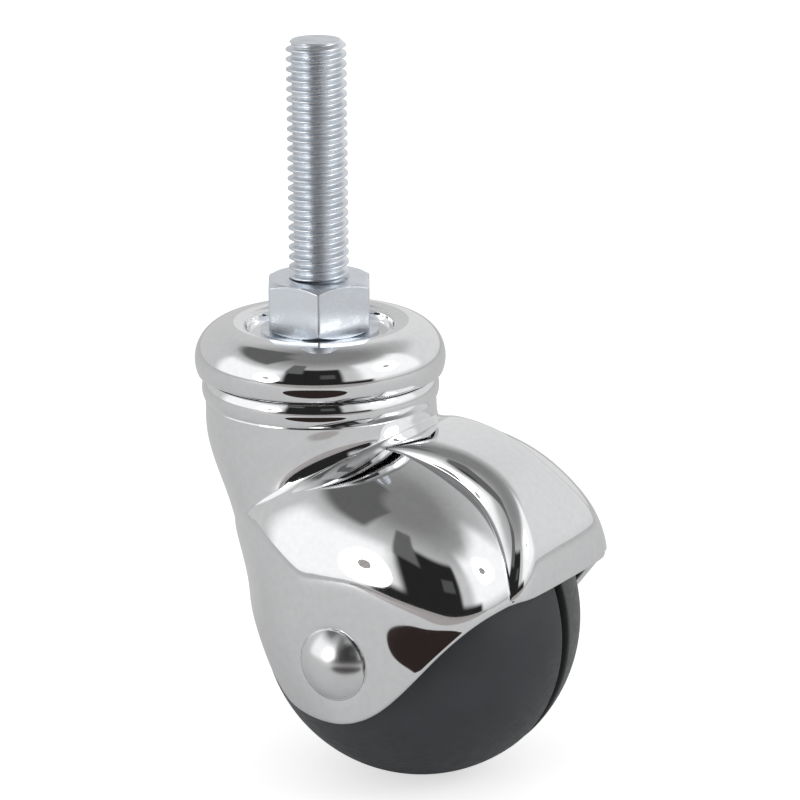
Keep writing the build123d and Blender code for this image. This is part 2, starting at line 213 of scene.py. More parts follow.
class HoodSizes(bpy.types.PropertyGroup):
    radius: length("Hood radius", "Outer radius that the rows are given in", 0.0271)
    neck_radius: length("Neck radius", "Radius of the round neck", 0.0184)
    neck_front: length("Neck front", "Height of the neck in front", 0.0056)
    neck_rear: length("Neck rear", "Height of the neck behind", 0.0233)
    bead_radius: length("Bead radius", "Radius of the bead round the neck's top", 0.01895)
    bead_height: length("Bead height", "Height of that bead", 0.0039)
    bead_bow: length("Bead bow", "How far the bead's face bows out", 0.0006)
    throat: length("Throat", "Radius of the hole under the bearing", 0.0144)
    plate_depth: length("Plate depth", "From the neck's top down to the swivel plate's seat", 0.00124)
    plate_fit: length("Plate fit", "Gap round the swivel plate", 0.00002)
    crease: length("Crease", "Width of the step between cheek and bonnet", 0.0032)
    flank: length("Flank", "Width over which the bonnet rounds up from the crease", 0.0050)
    wall: length("Wall", "Thickness of the cheeks", 0.0016)
    neck_wall: length("Neck wall", "Thickness at the neck", 0.0040)
    tilt: angle_of("Tilt", "Tilt of the rows", 30)
    rows: IntProperty(name="Rows", description="Rows of the outer surface", default=154, min=40, max=400)
    columns: IntProperty(name="Columns", description="Columns round the hood", default=400, min=80, max=600)


class BallSizes(bpy.types.PropertyGroup):
    radius: length("Ball radius", "Radius of the ball wheel", 0.0254)
    shell: length("Shell", "Thickness of the ball's shells", 0.0032)
    clearance: length("Clearance", "Gap between ball and hood", 0.0005)
    groove_offset: length("Groove offset", "How far the groove lies off centre", 0.0020)
    groove_width: length("Groove width", "Width of the groove", 0.0024)
    opening: length("Side opening", "Radius of the opening in each side", 0.0086)
    rivet_radius: length("Rivet head", "Radius of the near head", 0.0058)
    rivet_height: length("Rivet height", "Height of the near head", 0.0027)
    far_radius: length("Far head", "Radius of the peened far head", 0.0047)
    far_height: length("Far head height", "Height of the far head", 0.0021)
    far_washer: length("Far washer", "Thickness of the washer under the far head", 0.0009)
    axle: length("Axle", "Radius of the axle", 0.0030)
    seat_depth: length("Seat depth", "Depth of the rivet's seat in the cheek", 0.00045)
    boss_radius: length("Boss radius", "Radius of the boss inside each cheek", 0.0065)


class Finishes(bpy.types.PropertyGroup):
    chrome: colour("Chrome", "Bright plate on hood and collar", (0.86, 0.865, 0.875))
    zinc: colour("Zinc", "Plate on stem and nut", (0.84, 0.88, 0.93))
    ball: colour("Ball", "Hard plastic of the ball", (0.044, 0.049, 0.056))
    # Painted sheen: the far shell's tone is painted slightly paler than the near shell's, for the light that its
    # limb reflects.
    far_ball_painted_sheen: colour("Far shell", "Slightly paler plastic of the far shell", (0.066, 0.072, 0.072))
    race: colour("Races", "Hardened steel", (0.36, 0.36, 0.37))
    nylon: colour("Nylon", "Thrust washers and bushes", (0.70, 0.68, 0.62))
    # Near-black tone of the ring that fills the dark groove under the collar.
    groove_ring_black: colour("Rubber", "Dust seal", (0.015, 0.015, 0.016))
    chrome_roughness: share("Chrome roughness", "Roughness of the bright plate", 0.035)
    ball_roughness: share("Ball roughness", "Roughness of the ball", 0.42)


class StageSettings(bpy.types.PropertyGroup):
    azimuth: angle_of("Azimuth", "Camera angle round the stem", 31.387)
    elevation: angle_of("Elevation", "Camera angle above level", 16.359)
    roll: angle_of("Roll", "Camera roll", -0.457)
    distance: length("Distance", "From the camera to the point it turns about", 0.6345)
    lens: amount("Lens", "Focal length in millimetres", 180.0)
    shift_right: shift("Shift right", "Sideways move of the camera", 0.004531)
    shift_up: shift("Shift up", "Upward move of the camera", 0.00094)
    floor: colour("Floor", "Pale floor and backdrop", (0.92, 0.92, 0.92))
    card: colour("Dark card", "Floor just in front, as mirrors see it", (0.030, 0.021, 0.019))
    dim_card: colour("Dim card", "Floor farther out and the lamps' middles", (0.400, 0.378, 0.372))
    card_glow: amount("Card glow", "Own light of the cards", 0.35)
    lamp_power: amount("Lamp power", "Power of each round lamp", 0.9)
    lamp_size: length("Lamp size", "Diameter of each round lamp", 0.40)
    lamp_distance: length("Lamp distance", "From the castor to each lamp", 0.9)
    lamp_middle: share("Lamp middle", "Radius of a lamp's dim middle, as a part of its diameter", 0.13)
    fill: amount("Fill", "Strength of the tent on rough surfaces", 0.55)
    lift: share("Lift", "Glow that turns the pale floor white for the camera", 0.62)


class CastorSettings(bpy.types.PropertyGroup):
    stem: PointerProperty(type=StemSizes)
    collar: PointerProperty(type=CollarSizes)
    hood: PointerProperty(type=HoodSizes)
    ball: PointerProperty(type=BallSizes)
    finish: PointerProperty(type=Finishes)
    stage: PointerProperty(type=StageSettings)


def smooth(t):
    """Eased step: 3t squared minus 2t cubed, held between 0 and 1."""
    t = np.clip(t, 0, 1)
    return t * t * (3 - 2 * t)


def rounded(corners, steps=6):
    """Profile through (radius, height, fillet) corners. Each corner becomes a quadratic curve
    that starts and ends one fillet away from it, with a point a third further out on each
    side so that the flats beside it stay flat."""
    corners = np.array(corners, float)
    place, fillet = corners[:, :2], corners[:, 2:]
    back = np.roll(place, 1, 0) - place
    ahead = np.roll(place, -1, 0) - place
    back /= np.linalg.norm(back, axis=1, keepdims=True)
    ahead /= np.linalg.norm(ahead, axis=1, keepdims=True)
    t = np.linspace(0, 1, steps)[None, :, None]
    start, end = (place + back * fillet)[:, None], (place + ahead * fillet)[:, None]
    curve = (1 - t) ** 2 * start + 2 * t * (1 - t) * place[:, None] + t ** 2 * end
    lead_in = (place + back * fillet * 1.33)[:, None]
    lead_out = (place + ahead * fillet * 1.33)[:, None]
    return np.concatenate([lead_in, curve, lead_out], 1).reshape(-1, 2)


def turned(profile, columns=192):
    """Surface of revolution: each (radius, height) of the profile swept round the Z axis."""
    angle = np.linspace(0, 2 * np.pi, columns, endpoint=False)[None, :]
    radius, height = profile[:, :1], profile[:, 1:]
    return np.stack([radius * np.cos(angle), radius * np.sin(angle), height + 0 * angle], -1)


def to_axle(grid, near=True):
    """Turns a surface about Z a quarter round X, so that its axis is the axle and its +Z
    points to the near cheek, or to the far one, and moves it to the ball's centre."""
    side = 1 if near else -1
    return np.stack([TRAIL + grid[..., 0], -side * grid[..., 2], BALL_Z + side * grid[..., 1]], -1)


def shell(grid, wrap_rows=False, cap_first=False, cap_last=False):
    """Vertices and faces of a grid whose columns close on themselves. Its rows may close too,
    and an open end row is closed by a fan round its middle. Faces are turned outwards by the
    sign of the enclosed volume, the sum of the triple products of the triangles."""
    rows, columns = grid.shape[:2]
    index = np.arange(rows * columns).reshape(rows, columns)
    this = index if wrap_rows else index[:-1]
    after = np.roll(index, -1, 0) if wrap_rows else index[1:]
    quads = np.stack([this, after, np.roll(after, -1, 1), np.roll(this, -1, 1)], -1).reshape(-1, 4)
    points = grid.reshape(-1, 3)
    fans = []
    for wanted, row, turn in ((cap_first, 0, 1), (cap_last, rows - 1, -1)):
        if wanted:
            middle = np.full(columns, len(points))
            points = np.vstack([points, grid[row].mean(0)])
            pair = (index[row], np.roll(index[row], -1))[::turn]
            fans.append(np.stack([middle, *pair], -1))
    fans = np.vstack(fans) if fans else np.zeros((0, 3), int)
    triangles = np.vstack([quads[:, [0, 1, 2]], quads[:, [0, 2, 3]], fans])
    a, b, c = (points[triangles[:, i]] for i in range(3))
    if np.einsum("ij,ij->i", a, np.cross(b, c)).sum() < 0:
        quads, fans = quads[:, ::-1], fans[:, ::-1]
    return points, quads, fans


def build(name, shells):
    """One smooth mesh object made of closed shells."""
    points, faces, count = [], [], 0
    for vertices, quads, fans in shells:
        points.append(vertices)
        faces += (quads + count).tolist() + (fans + count).tolist()
        count += len(vertices)
    mesh = bpy.data.meshes.new(name)
    mesh.from_pydata(np.vstack(points).tolist(), [], faces)
    mesh.polygons.foreach_set("use_smooth", np.ones(len(mesh.polygons), bool))
    mesh.update()
    piece = bpy.data.objects.new(name, mesh)
    bpy.context.scene.collection.objects.link(piece)
    return piece


def fit(piece, material, body, slot, *nodes):
    """Gives a new piece its finish and its body, and hides the nodes that it stands for."""
    piece.data.materials.append(material)
    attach(piece, body)
    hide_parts(*nodes)


class Tree:
    """A node tree, wired by the names or numbers of its sockets."""

    def __init__(self, tree):
        self.tree = tree

    def add(self, kind, inputs=None, **settings):
        node = self.tree.nodes.new(kind)
        for key, value in settings.items():
            setattr(node, key, value)
        for key, value in (inputs or {}).items():
            self.wire(value, node.inputs[key])
        return node

    def wire(self, value, socket):
        if isinstance(value, bpy.types.NodeSocket):
            self.tree.links.new(value, socket)
        else:
            socket.default_value = value

    def maths(self, operation, first, second=0.0, third=0.0):
        return self.add("ShaderNodeMath", {0: first, 1: second, 2: third}, operation=operation).outputs[0]


class Finish(Tree):
    """A material's nodes."""

    def __init__(self, name):
        self.material = bpy.data.materials.new(name)
        self.material.use_nodes = True
        super().__init__(self.material.node_tree)
        self.shader = self.tree.nodes["Principled BSDF"]

    def place(self):
        return self.add("ShaderNodeTexCoord").outputs["Object"]

    def noise(self, scale, detail=3.0, stretch=(1, 1, 1), roughness=0.5):
        spot = self.add("ShaderNodeMapping", {"Vector": self.place(), "Scale": stretch})
        return self.add(
            "ShaderNodeTexNoise",
            {"Vector": spot.outputs["Vector"], "Scale": scale, "Detail": detail, "Roughness": roughness},
        ).outputs["Fac"]

    def span(self, value, low, high, new_low, new_high):
        return self.add(
            "ShaderNodeMapRange",
            {"Value": value, "From Min": low, "From Max": high, "To Min": new_low, "To Max": new_high},
        ).outputs["Result"]

    def blend(self, factor, first, second):
        node = self.add("ShaderNodeMix", {"Factor": factor}, data_type="RGBA")
        self.wire((*first, 1.0), node.inputs[6])
        self.wire((*second, 1.0), node.inputs[7])
        return node.outputs[2]

    def bump(self, height, strength, distance):
        return self.add(
            "ShaderNodeBump", {"Height": height, "Strength": strength, "Distance": distance}
        ).outputs["Normal"]

    def finish(self, **sockets):
        for key, value in sockets.items():
            self.wire(value, self.shader.inputs[key.replace("_", " ")])
        return self.material


def scaled(tone, part):
    """A tone made darker, or paler where the part is over 1."""
    return tuple(c * part for c in tone)


def bright_plate(name, tone, roughness, ripple):
    """Polished plate: slow ripples of the metal under it, fine haze and a few wipe marks."""
    n = Finish(name)
    slow = n.noise(90.0, 2.0)
    haze = n.noise(900.0, 5.0)
    return n.finish(
        Metallic=1.0,
        Base_Color=n.blend(n.span(haze, 0.35, 0.75, 0.0, 1.0), tone, scaled(tone, 0.94)),
        Roughness=n.span(n.noise(260.0, 6.0, (1, 1, 0.35)), 0.45, 0.80, roughness, roughness + 0.045),
        Normal=n.bump(slow, ripple, 0.00012),
    )


def zinc_plate(name, tone, dark):
    """Zinc plate: cloudy bluish grey with fine lines round the axis and dull spots."""
    n = Finish(name)
    cloud = n.noise(420.0, 4.0)
    lines = n.noise(300.0, 4.0, (1, 1, 9))
    return n.finish(
        Metallic=1.0,
        Base_Color=n.blend(n.span(cloud, 0.35, 0.70, 0.0, 1.0), tone, scaled(tone, dark)),
        Roughness=n.span(cloud, 0.3, 0.75, 0.24, 0.36),
        Normal=n.bump(lines, 0.12, 0.00005),
    )


def moulded(name, tone, roughness, grain):
    """Hard moulded plastic: even tone with faint clouding, scuffs in the gloss and fine grain."""
    n = Finish(name)
    cloud = n.noise(160.0, 4.0)
    scuff = n.noise(520.0, 7.0, (1, 1, 3), 0.65)
    return n.finish(
        Base_Color=n.blend(n.span(cloud, 0.35, 0.70, 0.0, 1.0), tone, scaled(tone, 0.84)),
        Roughness=n.span(scuff, 0.40, 0.70, roughness - 0.05, roughness + 0.10),
        Normal=n.bump(n.noise(2600.0, 3.0), grain, 0.00003),
    )


def oiled_steel(name, tone):
    """Hardened steel with a film of oil: dark, with turning marks."""
    n = Finish(name)
    marks = n.noise(700.0, 4.0, (1, 1, 6))
    return n.finish(
        Metallic=1.0,
        Base_Color=n.blend(n.span(marks, 0.3, 0.7, 0.0, 1.0), tone, scaled(tone, 0.75)),
        Roughness=n.span(n.noise(350.0), 0.3, 0.7, 0.18, 0.32),
    )


def thread_profile(phase, size):
    """Depth of the thread below its crest at a phase of 0 to 1 along one pitch: flat crest,
    sloping flanks and flat root, with the corners eased."""
    from_crest = np.abs(phase - 0.5) * 2
    return size.thread_depth * smooth((from_crest - size.crest) / size.flank)


class CASTOR_OT_stem(bpy.types.Operator):
    """Stem with its rolled thread, chamfered tip, plain shank and peened head"""
    bl_idname = "castor.stem"
    bl_label = "Threaded stem"

    def execute(self, context):
        size, tone = context.scene.castor.stem, context.scene.castor.finish
        turns = STEM_TOP / size.pitch
        height = np.linspace(STEM_TOP - 1e-5, 2e-5, int(turns * 18))[:, None]
        angle = np.linspace(0, 2 * np.pi, 96, endpoint=False)[None, :]
        phase = (height / size.pitch - angle / (2 * np.pi)) % 1.0
        radius = size.radius - thread_profile(phase, size)
        radius = np.minimum(radius, size.radius - size.chamfer + STEM_TOP - height)
        thread = np.stack([radius * np.cos(angle), radius * np.sin(angle), height + 0 * angle], -1)
        tip = turned(np.array([
            (0.0004, STEM_TOP),
            (size.radius - size.chamfer - 0.0003, STEM_TOP),
            (size.radius - size.chamfer - 0.0001, STEM_TOP),
        ]), 96)
        dome = np.linspace(0, np.pi / 2, 12)[:, None]
        head_top = STEM_BOTTOM + size.head_height
        shank = np.array([
            (size.kingpin, size.kingpin - size.radius),
            (size.kingpin, size.kingpin - size.radius - 0.0001),
            (size.kingpin, head_top + 0.0001),
            (size.kingpin + 0.0001, head_top),
            (size.head_radius - 0.0002, head_top),
        ])
        head = np.hstack([size.head_radius * np.cos(dome), head_top - size.head_height * np.sin(dome)])[:-1]
        grid = np.vstack([tip, thread, turned(np.vstack([shank, head]), 96)])
        piece = build("stem_with_thread", [shell(grid, cap_first=True, cap_last=True)])
        finish = zinc_plate("zinc_on_stem", tone.zinc, 0.88)
        fit(piece, finish, "stem_body", "zinc_plated_steel", "threaded_stem")
        return {"FINISHED"}


class CASTOR_OT_nut(bpy.types.Operator):
    """Hexagon nut with coned corners and a countersink round the stem"""
    bl_idname = "castor.nut"
    bl_label = "Hexagon nut"

    def execute(self, context):
        size, tone = context.scene.castor.stem, context.scene.castor.finish
        flat = size.across_flats / 2
        angle = np.linspace(0, 2 * np.pi, 360, endpoint=False)
        faces = size.turn + np.pi / 6 + np.arange(3) * np.pi / 3
        sides = np.abs(np.cos(angle[None, :] - faces[:, None]))
        sharpness = 90
        reach = flat * (sides ** sharpness).sum(0) ** (-1 / sharpness)
        cone_radius = flat - 0.00012
        drop = (reach - cone_radius) * np.tan(np.radians(30))
        bore = size.kingpin + size.fit
        sink = size.radius - size.kingpin
        middle = NUT_BOTTOM / 2

        def half(sign):
            """One end of the nut, from its bore out to its flats."""
            face = middle - sign * middle
            inner = [
                (bore, face - sign * (sink + 0.0002)), (bore, face - sign * sink),
                (bore + sink - 0.00003, face - sign * 0.00003), (bore + sink + 0.00002, face),
                (bore + sink + 0.0002, face), (cone_radius - 0.0004, face), (cone_radius - 0.0001, face),
            ]
            flats = [(cone_radius + 0.0001 * k, face - sign * 0.0000577 * k) for k in (0, 1)]
            rows = turned(np.array(inner + flats), len(angle))
            out = np.array([0.4, 0.8, 0.97])[:, None]
            radius = cone_radius + (reach - cone_radius) * out
            level = face - sign * drop * out
            cone = np.stack([radius * np.cos(angle), radius * np.sin(angle), level], -1)
            extra = np.array([0.00004, 0.00018, 0.0006])[:, None]
            side_level = (face - sign * (drop + extra))[..., None]
            outline = np.stack([reach * np.cos(angle), reach * np.sin(angle), 0 * angle], -1)
            side = outline + side_level * (0, 0, 1)
            return np.vstack([rows, cone, side])

        grid = np.vstack([half(1), half(-1)[::-1]])
        piece = build("nut_with_cone", [shell(grid, wrap_rows=True)])
        fit(piece, zinc_plate("zinc_on_nut", tone.zinc, 0.93), "stem_body", "zinc_plated_steel", "hex_nut")
        return {"FINISHED"}


class CASTOR_OT_collar(bpy.types.Operator):
    """Pressed collar: floor under the nut, recess wall, round bead and short skirt"""
    bl_idname = "castor.collar"
    bl_label = "Collar"

    def execute(self, context):
        size, tone = context.scene.castor.collar, context.scene.castor.finish
        stem = context.scene.castor.stem
        bore = stem.kingpin + stem.fit
        outer = COLLAR_HIGH.x
        centre_r, centre_z = outer - size.bead, COLLAR_HIGH.z - size.bead
        floor = NUT_BOTTOM - WASHER_HIGH.z + WASHER_LOW.z
        skirt, past_top = np.arcsin((COLLAR_LOW.z - centre_z) / size.bead), 0.30
        round_top = np.linspace(np.pi / 2 + past_top, skirt, 48)[:, None]
        round_in = np.linspace(skirt, np.pi / 2, 24)[:, None]
        inner_bead = size.bead - size.sheet
        centre = np.array([centre_r, centre_z])
        bead = centre + size.bead * np.hstack([np.cos(round_top), np.sin(round_top)])
        under = centre + inner_bead * np.hstack([np.cos(round_in), np.sin(round_in)])
        under[:, 1] = np.maximum(under[:, 1], COLLAR_LOW.z)
        ends = rounded([
            (size.recess + size.sheet, floor - size.sheet, 0.0004),
            (bore, floor - size.sheet, 0.0001),
            (bore, floor, 0.0001),
            (size.recess, floor, 0.0004),
            (size.recess + 0.0004, bead[0, 1] - 0.0002, 0.0003),
        ])
        piece = build("collar_bead", [shell(turned(np.vstack([bead, under, ends]), 256), wrap_rows=True)])
        finish = bright_plate("bright_collar", tone.chrome, tone.chrome_roughness, 0.05)
        fit(piece, finish, "stem_body", "collar_chrome", "collar_ring")
        return {"FINISHED"}


def bends_of(table):
    """Second derivatives of the natural cubic through a table's rows, one step apart, at the
    start and at the end of each step."""
    count = len(table)
    matrix = np.eye(count) * 4 + np.eye(count, k=1) + np.eye(count, k=-1)
    matrix[0], matrix[-1] = np.eye(count)[0], np.eye(count)[-1]
    change = np.zeros_like(table)
    change[1:-1] = 6 * (table[2:] - 2 * table[1:-1] + table[:-2])
    bend = np.linalg.solve(matrix, change)
    return np.stack([bend[:-1], bend[1:]])


def linked_bends(table, split):
    """The same for two cubics, above a row number and from it on. The step between them has
    the slope of each at its ends, so that neither ripples the other."""
    above, below = bends_of(table[:split]), bends_of(table[split:])
    leave = table[split - 1] - table[split - 2] + (above[0, -1] + 2 * above[1, -1]) / 6
    enter = table[split + 1] - table[split] - (2 * below[0, 0] + below[1, 0]) / 6
    step = table[split] - table[split - 1]
    link = np.stack([6 * step - 4 * leave - 2 * enter, 2 * leave + 4 * enter - 6 * step])
    return np.concatenate([above, link[:, None], below], 1)


def between(table, bends, row):
    """Values of the cubics at any array of row numbers, whole or not."""
    low = np.clip(row.astype(int), 0, len(table) - 2)
    f = (row - low)[..., None]
    g = 1 - f
    curve = (g ** 3 - g) * bends[0, low] + (f ** 3 - f) * bends[1, low]
    return np.moveaxis(g * table[low] + f * table[low + 1] + curve / 6, -1, 0)


class HoodForm:
    """The hood's outer surface as a function of a row number and a place round it."""

    def __init__(self, size):
        self.size = size
        down, rear, wide, middle = NECK_ROWS.T
        neck = np.stack([
            -rear * size.neck_radius, NECK_TOP - down * size.neck_rear,
            size.neck_radius + 0 * down, NECK_TOP - down * size.neck_front,
            middle, wide * size.neck_radius, 2 + 0 * down, 0 * down, NECK_BONNET * size.radius + 0 * down,
        ], -1)
        height, back, front, widest, wide, square, bonnet, crease = BODY_ROWS.T
        c, s = np.cos(size.tilt), np.sin(size.tilt)
        body = np.stack([
            TRAIL + size.radius * (back * c - height * s), BALL_Z + size.radius * (back * s + height * c),
            TRAIL + size.radius * (front * c - height * s), BALL_Z + size.radius * (front * s + height * c),
            (widest - back) / (front - back), wide * size.radius, square,
            bonnet * size.radius, crease * size.radius,
        ], -1)
        self.table = np.vstack([neck, body])
        self.bends = linked_bends(self.table, len(neck))
        self.first_body = float(len(neck))
        rim = np.array([TRAIL, BALL_Z]) + RIM_POINTS * size.radius
        x, z = between(rim, bends_of(rim), np.linspace(0, len(rim) - 1, 600))
        self.rim_x, self.rim_z = x[::-1], z[::-1]

    def points(self, row, place):
        """Round behind and squarer in front: the radius at a turn is that of a superellipse
        with its own reach to front, rear and side. Between the creases the bonnet's height
        is added. It rises from a sharp edge at the foot of the crease and levels off over the
        flank. A place runs from -1 behind, through 0 in front, to 1 behind."""
        rx, rz, fx, fz, middle, wide, square, bonnet, crease = between(self.table, self.bends, row)
        span = np.hypot(fx - rx, fz - rz)
        ax, az = (fx - rx) / span, (fz - rz) / span
        ahead, behind = (1 - middle) * span - bonnet, middle * span
        step = self.size.crease
        foot = crease + step / 2
        part = np.abs(place)
        edge = BONNET_SHARE + CREASE_SHARE

        def turn_at(y):
            return np.arctan2(y, ahead * (1 - (y / wide) ** square) ** (1 / square))

        on_bonnet = (foot - step) * part / BONNET_SHARE
        on_crease = foot - step * (1 - (part - BONNET_SHARE) / CREASE_SHARE)
        across = np.minimum(np.where(part < BONNET_SHARE, on_bonnet, on_crease), foot)
        beside = turn_at(foot) + (np.pi - turn_at(foot)) * (part - edge) / (1 - edge)
        turn = np.where(part < edge, turn_at(across), beside) * np.sign(place)
        c, s = np.cos(turn), np.sin(turn)
        power = 2 + (square - 2) * np.clip(SQUARE_START + SQUARE_GAIN * c, 0, 1)
        reach = np.where(c > 0, ahead, behind)
        radius = (np.abs(c / reach) ** power + np.abs(s / wide) ** power) ** (-1 / power)
        inside = np.clip((foot - np.abs(radius * s)) / self.size.flank, 0, 1)
        rise = 1 - (1 - inside) ** FLANK_POWER
        radius = radius + np.where(c > 0, bonnet * rise / np.maximum(c, BONNET_SLANT), 0)
        along = radius * c
        return np.stack([rx + ax * (behind + along), radius * s, rz + az * (behind + along)], -1)

    def row_where(self, height_over, low, high):
        """Row number at which a falling height function crosses zero, by halving."""
        for _ in range(30):
            middle = (low + high) / 2
            above = height_over(middle) > 0
            low, high = np.where(above, middle, low), np.where(above, high, middle)
        return (low + high) / 2


class CASTOR_OT_hood(bpy.types.Operator):
    """Cast hood: neck and bead, cheeks, bonnet between its creases, rounded lower lip and the
    inner wall, in one closed surface, with a boss inside each cheek"""
    bl_idname = "castor.hood"
    bl_label = "Hood"

    def execute(self, context):
        size, ball = context.scene.castor.hood, context.scene.castor.ball
        tone = context.scene.castor.finish
        form = HoodForm(size)
        place = np.linspace(-1, 1, size.columns, endpoint=False)
        lip, lip_reach, fullness = size.wall / 2, 0.9, 0.7
        under_bead = NECK_TOP - size.bead_height - 0.00006

        def over_rim(row):
            p = form.points(row, place)
            return p[:, 2] - np.interp(p[:, 0], form.rim_x, form.rim_z) - lip * lip_reach

        def over_bead(row):
            return form.points(row, place)[:, 2] - under_bead

        zero = np.zeros(size.columns)
        top = form.row_where(over_bead, zero, zero + form.first_body)
        bottom = form.row_where(over_rim, zero + form.first_body, zero + len(form.table) - 1)
        step = np.linspace(0, 1, size.rows)[:, None]
        rows = top + (bottom - top) * step
        outer = form.points(rows, place + 0 * rows)

        across = np.roll(outer, -1, 1) - np.roll(outer, 1, 1)
        down = np.gradient(outer, axis=0)
        normal = np.cross(across, down)
        normal /= np.linalg.norm(normal, axis=-1, keepdims=True)
        normal *= np.sign((normal[5] * outer[5]).sum())

        centre = np.array([TRAIL, 0, BALL_Z])
        seat = size.radius - ball.seat_depth
        from_axle = np.hypot(outer[..., 0] - TRAIL, outer[..., 2] - BALL_Z)
        seat_gap, seat_edge = 0.0001, 0.0006
        beyond = smooth((from_axle - ball.rivet_radius - seat_gap) / seat_edge)
        side = np.abs(outer[..., 1])
        proud = np.maximum(side - seat, 0) * beyond
        outer[..., 1] = np.sign(outer[..., 1]) * np.minimum(side, seat + proud)

        def clear_of_ball(points):
            """Moves points that lie too near the ball straight out from its centre."""
            offset = points - centre
            distance = np.linalg.norm(offset, axis=-1, keepdims=True)
            return centre + offset * np.maximum(1, (ball.radius + ball.clearance) / distance)

        end, last_normal = outer[-1], normal[-1]
        run = end - outer[-2]
        run /= np.linalg.norm(run, axis=-1, keepdims=True)
        theta = np.linspace(0, np.pi, 14)[1:-1, None, None]
        bulge = np.sign(np.cos(theta)) * np.abs(np.cos(theta)) ** fullness
        lip_rows = end - last_normal * lip + lip * (last_normal * bulge + run * np.sin(theta) ** fullness)

        inner_rows = 28
        sparse = np.linspace(size.rows - 1, 0, inner_rows).astype(int)
        fade = smooth((rows[sparse] - form.first_body + 2) / 3)[..., None]
        thick = size.neck_wall + (size.wall - size.neck_wall) * fade
        inner = clear_of_ball(outer[sparse] - normal[sparse] * thick)

        plate_bottom = NECK_TOP - size.plate_depth
        plate_radius = PLATE_RADIUS + size.plate_fit
        angle = np.arctan2(outer[0, :, 1], outer[0, :, 0])[None, :]
        rim = rounded([
            (size.throat, plate_bottom, 0.0001),
            (plate_radius, plate_bottom, 0.0001),
            (plate_radius, NECK_TOP, 0.0001),
            (size.bead_radius - size.bead_bow - 0.0003, NECK_TOP, 0.00005),
        ])
        half = size.bead_height / 2
        bow = (half ** 2 + size.bead_bow ** 2) / (2 * size.bead_bow)
        sweep = np.linspace(1, -1, 24)[:, None] * np.arcsin(half / bow)
        bead = np.hstack([
            size.bead_radius - bow * (1 - np.cos(sweep)), NECK_TOP - half + bow * np.sin(sweep),
        ])
        rim = np.vstack([rim[:-1], bead])
        radius, level = rim[:, :1], rim[:, 1:]
        top_rows = np.stack([radius * np.cos(angle), radius * np.sin(angle), level + 0 * angle], -1)
        skin = shell(np.vstack([top_rows, outer, clear_of_ball(lip_rows), inner]), wrap_rows=True)

        boss_low, boss_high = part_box("thrust_washer_far")[1].y, seat - 0.0003
        boss_bore = ball.axle + 0.00005
        boss = turned(rounded([
            (boss_bore, boss_low, 0.0001), (ball.boss_radius, boss_low, 0.0002),
            (ball.boss_radius, boss_high, 0.0001), (boss_bore, boss_high, 0.0001),
        ]), 96)
        bosses = [shell(to_axle(boss, near), wrap_rows=True) for near in (True, False)]
        piece = build("hood_casting", [skin] + bosses)
        finish = bright_plate("bright_hood", tone.chrome, tone.chrome_roughness, 0.10)
        fit(piece, finish, "hood_body", "hood_chrome", "hood")
        return {"FINISHED"}


class CASTOR_OT_ball(bpy.types.Operator):
    """Two shells of the ball, with eased edges at the groove and the side openings"""
    bl_idname = "castor.ball"
    bl_label = "Ball shells"

    def execute(self, context):
        size, tone = context.scene.castor.ball, context.scene.castor.finish
        inside = size.radius - size.shell
        sides = (
            ("near", True, -size.groove_offset + size.groove_width / 2, tone.ball),
            # The far shell takes its paler tone, which has the painted sheen in it.
            ("far", False, size.groove_offset + size.groove_width / 2, tone.far_ball_painted_sheen),
        )
        for name, near, groove_face, shade in sides:
            start, stop = np.arcsin(groove_face / size.radius), np.arccos(size.opening / size.radius)
            ease = 0.00035 / size.radius
            out = np.linspace(start + ease, stop - ease, 90)[:, None]
            back_start, back_stop = np.arccos(size.opening / inside), np.arcsin(groove_face / inside)
            back = np.linspace(back_start, back_stop, 20)[:, None]
            outside = size.radius * np.hstack([np.cos(out), np.sin(out)])
            inner = inside * np.hstack([np.cos(back), np.sin(back)])
            brim = np.sqrt(size.radius ** 2 - groove_face ** 2)
            groove_edge = np.array([
                (brim - 0.0004, groove_face),
                (brim - 0.00018, groove_face + 0.00003),
                (brim - 0.00005, groove_face + 0.00015),
            ])
            grid = to_axle(turned(np.vstack([groove_edge, outside, inner]), 256), near)
            piece = build(f"ball_half_{name}", [shell(grid, wrap_rows=True)])
            finish = moulded(f"ball_plastic_{name}", shade, tone.ball_roughness, 0.10)
            fit(piece, finish, "wheel_body", "ball_plastic", f"wheel_shell_{name}")
        return {"FINISHED"}


class CASTOR_OT_rivet(bpy.types.Operator):
    """Axle with its domed near head and peened far head"""
    bl_idname = "castor.rivet"
    bl_label = "Axle rivet"

    def execute(self, context):
        size, tone = context.scene.castor.ball, context.scene.castor.finish
        seat = context.scene.castor.hood.radius - size.seat_depth

        def dome(radius, height, base):
            """Cap of a sphere through the rim and the crown, then its eased underside."""
            ball = (radius ** 2 + height ** 2) / (2 * height)
            angle = np.linspace(0.02, np.arcsin((radius - 0.0001) / ball), 40)[:, None]
            cap = np.hstack([ball * np.sin(angle), base + height - ball + ball * np.cos(angle)])
            under = np.array([
                (radius, base + 0.0001), (radius - 0.00005, base + 0.00003), (radius - 0.0002, base),
                (radius - 0.0004, base), (size.axle + 0.0002, base), (size.axle, base - 0.0002),
            ])
            return np.vstack([cap, under])

        near = dome(size.rivet_radius, size.rivet_height, seat)
        far = dome(size.far_radius, size.far_height, seat + size.far_washer)
        profile = np.vstack([near, far[::-1] * np.array([1, -1])])
        axle = shell(to_axle(turned(profile, 160)), cap_first=True, cap_last=True)
        piece = build("axle_with_heads", [axle])
        finish = bright_plate("bright_rivet", scaled(tone.chrome, 0.95), 0.20, 0.12)
        fit(piece, finish, "hood_body", "rivet_chrome", "axle_rivet")
        return {"FINISHED"}


